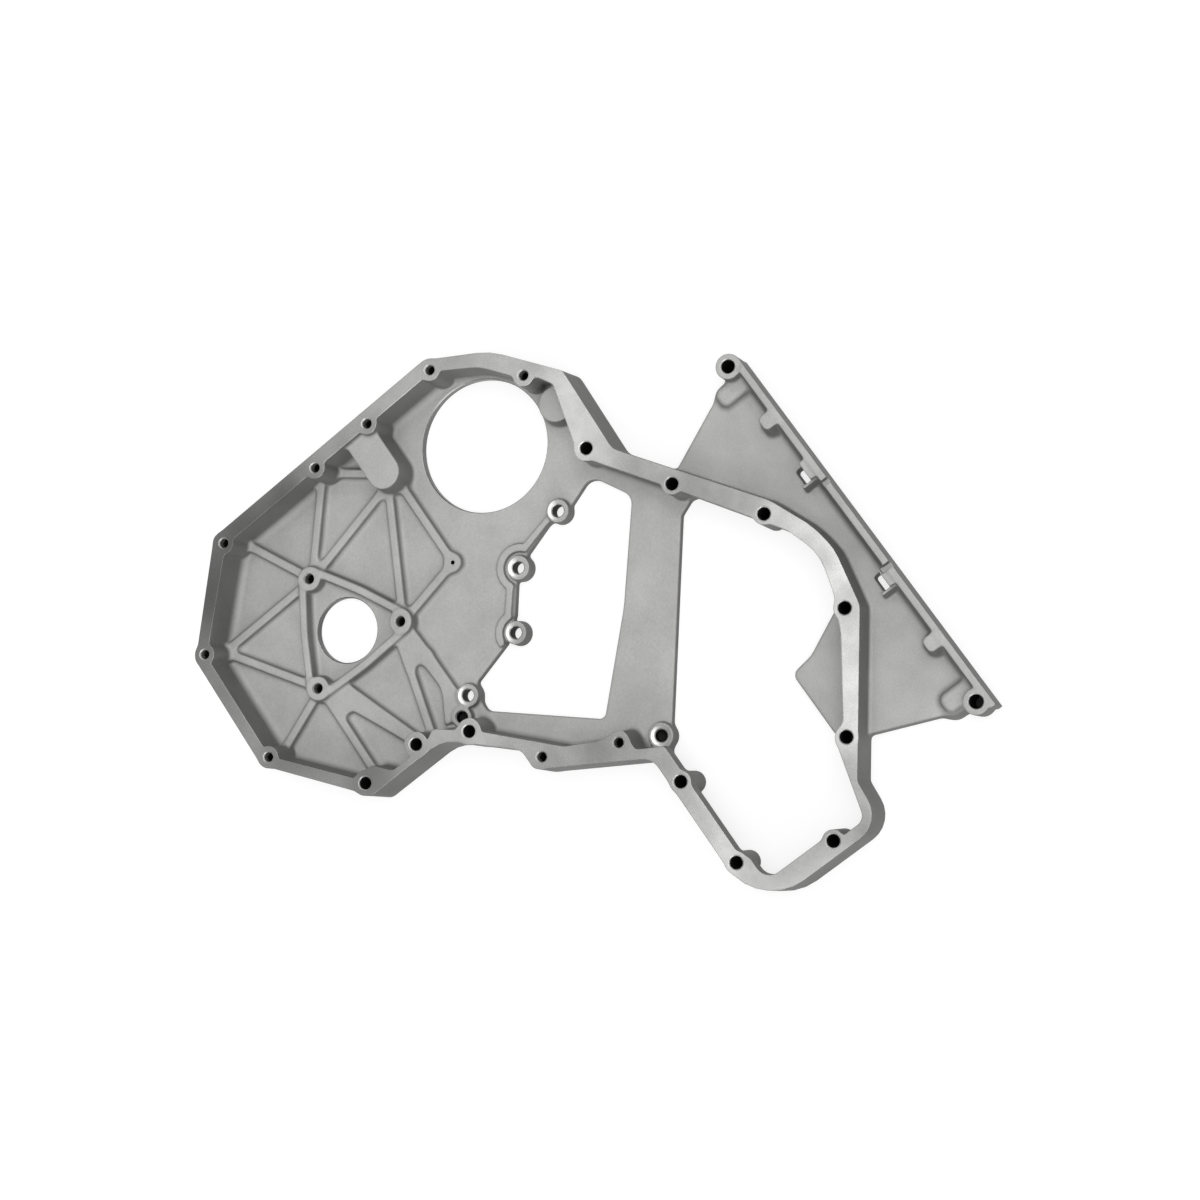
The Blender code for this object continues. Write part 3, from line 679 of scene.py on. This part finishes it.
# The sump face, the slab's third, is milled with a coarser cutter and looks as dull as the skin.
slab.data.materials.append(cast)
slab.data.polygons.foreach_set('material_index', [0, 0, 1, 0, 0, 0])
for tool, operation in ((slab, 'INTERSECT'), (drills, 'DIFFERENCE')):
    cut = housing.modifiers.new(tool.name, 'BOOLEAN')
    cut.operation = operation
    cut.solver = 'EXACT'
    cut.material_mode = 'TRANSFER'
    cut.object = tool
    bake(housing)
    bpy.data.objects.remove(tool, do_unlink=True)

# The light follows the mould's own slope on the cast skin, and the flat of machined faces.
mesh = housing.data
co = np.empty(len(mesh.vertices) * 3, np.float32)
mesh.vertices.foreach_get('co', co)
at = co.reshape(-1, 3) * 1000 + np.array([*FOOTPRINT_CENTRE, 0]) - np.array(
    [lattice_x[0], lattice_y[0], lattice_z[0]])
slope = gradient((at / PITCH)[:, [2, 0, 1]])[:, [1, 2, 0]]
slope /= np.linalg.norm(slope, axis=1)[:, None] + 1e-9
corner_vertex = np.empty(len(mesh.loops), np.int32)
mesh.loops.foreach_get('vertex_index', corner_vertex)
sizes = np.empty(len(mesh.polygons), np.int32)
mesh.polygons.foreach_get('loop_total', sizes)
flat = np.empty(len(mesh.polygons) * 3, np.float32)
mesh.polygons.foreach_get('normal', flat)
finish = np.empty(len(mesh.polygons), np.int32)
mesh.polygons.foreach_get('material_index', finish)
flat = np.repeat(flat.reshape(-1, 3), sizes, 0)
curved = slope[corner_vertex]
smooth = (np.repeat(finish, sizes) == 0) & (np.sum(curved * flat, 1) > 0.75)
mesh.shade_smooth()
mesh.normals_split_custom_set(np.where(smooth[:, None], curved, flat))

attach(housing, 'root')
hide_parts('gear_housing')

# Floor and light
# A pale floor below the part, with near-black discs painted on it under the narrow holes as shade
# for their bottoms, a soft overhead light in a dim surround, and a small light low on the crank
# side.
FLOOR_HALF = 60.0
SHADE_RADIUS = 0.0056
SHADE_SIDES = 24
corners = [(x * FLOOR_HALF, y * FLOOR_HALF, 0) for x, y in ((-1, -1), (1, -1), (1, 1), (-1, 1))]
faces = [(0, 1, 2, 3)]
for centre in COVER_BOLTS + [tuple(s) for s in studs] + [
        (side * SUMP_BOLT_OFFSET, END_BOSS_RADIUS) for side in (-1, 1)]:
    middle = (np.array(centre) - FOOTPRINT_CENTRE) * 0.001
    faces.append(tuple(range(len(corners), len(corners) + SHADE_SIDES)))
    corners += [(x, y, 0.00005) for x, y in
                polar(middle, SHADE_RADIUS, np.arange(SHADE_SIDES) * 360 / SHADE_SIDES)]
floor_mesh = bpy.data.meshes.new('floor')
floor_mesh.from_pydata(corners, [], faces)
floor = bpy.data.objects.new('floor', floor_mesh)
bpy.context.collection.objects.link(floor)
paper = bpy.data.materials.new('paper')
paper.use_nodes = True
tree = paper.node_tree
shader = tree.nodes['Principled BSDF']
shader.inputs['Roughness'].default_value = 0.9
shader.inputs['Base Color'].default_value = (0.3, 0.3, 0.3, 1)
shader.inputs['Emission Color'].default_value = (1, 1, 1, 1)
path = tree.nodes.new('ShaderNodeLightPath')
seen = combined(tree, 'ADD', path.outputs['Is Camera Ray'], path.outputs['Is Glossy Ray'])
seen = combined(tree, 'ADD', seen, path.outputs['Is Transmission Ray'])
tree.links.new(mapped(tree, seen, 0.0, 1.0, 0.0, 0.76), shader.inputs['Emission Strength'])
# Painted shade: near-black discs on the floor under the narrow holes.
shade = bpy.data.materials.new('shade')
shade.use_nodes = True
shade.node_tree.nodes['Principled BSDF'].inputs['Base Color'].default_value = (0.01, 0.01, 0.01, 1)
floor_mesh.materials.append(paper)
floor_mesh.materials.append(shade)
floor_mesh.polygons.foreach_set('material_index', [0] + [1] * (len(faces) - 1))


def light(tree, towards, edge, full, dim, strength):
    """Strength of a soft light for each direction, from the cosine to the light's middle."""
    aim = tree.nodes.new('ShaderNodeVectorMath')
    aim.operation = 'DOT_PRODUCT'
    aim.inputs[1].default_value = towards
    direction = tree.nodes.new('ShaderNodeTexCoord')
    tree.links.new(direction.outputs['Generated'], aim.inputs[0])
    result = mapped(tree, aim.outputs['Value'], edge, full, dim, strength)
    result.node.interpolation_type = 'SMOOTHSTEP'
    return result


world = bpy.data.worlds.new('studio')
bpy.context.scene.world = world
world.use_nodes = True
tree = world.node_tree
sky = tree.nodes['Background']
sky.inputs['Color'].default_value = (1, 1, 1, 1)
lamps = combined(tree, 'ADD', light(tree, (0.0, -0.20, 0.98), 0.82, 0.93, 0.5, 2.2),
                 light(tree, (-0.87, 0.20, 0.45), 0.88, 0.97, 0.0, 1.5))
backdrop = tree.nodes.new('ShaderNodeMix')
path = tree.nodes.new('ShaderNodeLightPath')
tree.links.new(path.outputs['Is Camera Ray'], backdrop.inputs['Factor'])
tree.links.new(lamps, backdrop.inputs['A'])
backdrop.inputs['B'].default_value = 1.0
tree.links.new(backdrop.outputs['Result'], sky.inputs['Strength'])

# Camera
# It looks down from the corner beside the sump rail, through a long lens.
lens = bpy.data.cameras.new('camera')
lens.lens = 66.0
lens.sensor_width = 36.0
camera = bpy.data.objects.new('camera', lens)
bpy.context.collection.objects.link(camera)
camera.matrix_world = Matrix((
    (-0.54867, 0.79075, -0.27141, -0.42296),
    (-0.76355, -0.60618, -0.22255, -0.40795),
    (-0.34050, 0.08513, 0.93638, 1.52186),
    (0, 0, 0, 1),
))
bpy.context.scene.camera = camera
bpy.context.scene.view_settings.view_transform = 'Standard'
